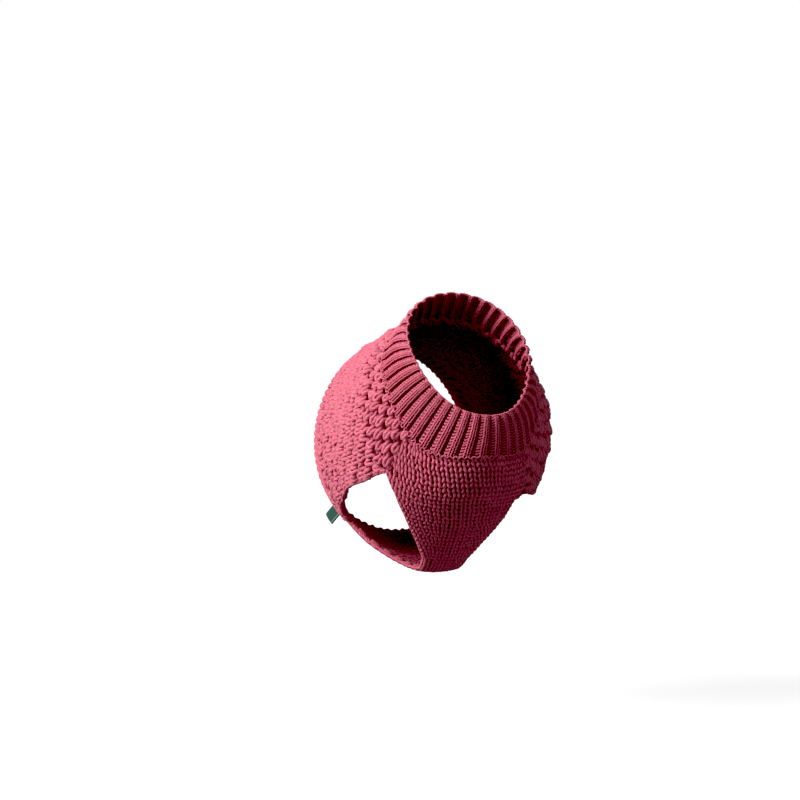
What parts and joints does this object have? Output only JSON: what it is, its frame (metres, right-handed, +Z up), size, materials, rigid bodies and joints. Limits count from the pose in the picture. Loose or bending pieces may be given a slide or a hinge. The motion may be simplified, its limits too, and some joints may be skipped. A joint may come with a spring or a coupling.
{
  "type": "knitted dog sweater",
  "caption": "Sleeveless knitted sweater for a small dog, kept hollow in its worn shape, with a ribbed collar and hem, two leg holes and a bulky knit back.",
  "frame": {"origin": "where the inside of the back panel rests on the wearer's withers", "axes": "+Z up; the wearer faces -Y, so the neck opening is towards -Y and the hem towards +Y; +X is the wearer's left"},
  "size_m": [0.1133, 0.1568, 0.1562],
  "materials": {
    "knit_rib": "raspberry rib knit, matt, slightly fuzzy",
    "knit_back": "raspberry bulky tuck knit of thick soft yarn",
    "knit_front": "raspberry plain knit, matt, slightly fuzzy",
    "label_cloth": "dark green woven tape, unprinted"
  },
  "bodies": {
    "root": {"collar": "knit_rib", "back_panel": "knit_back", "front_panel": "knit_front", "hem_rib": "knit_rib", "label": "label_cloth"}
  },
  "joints": []
}
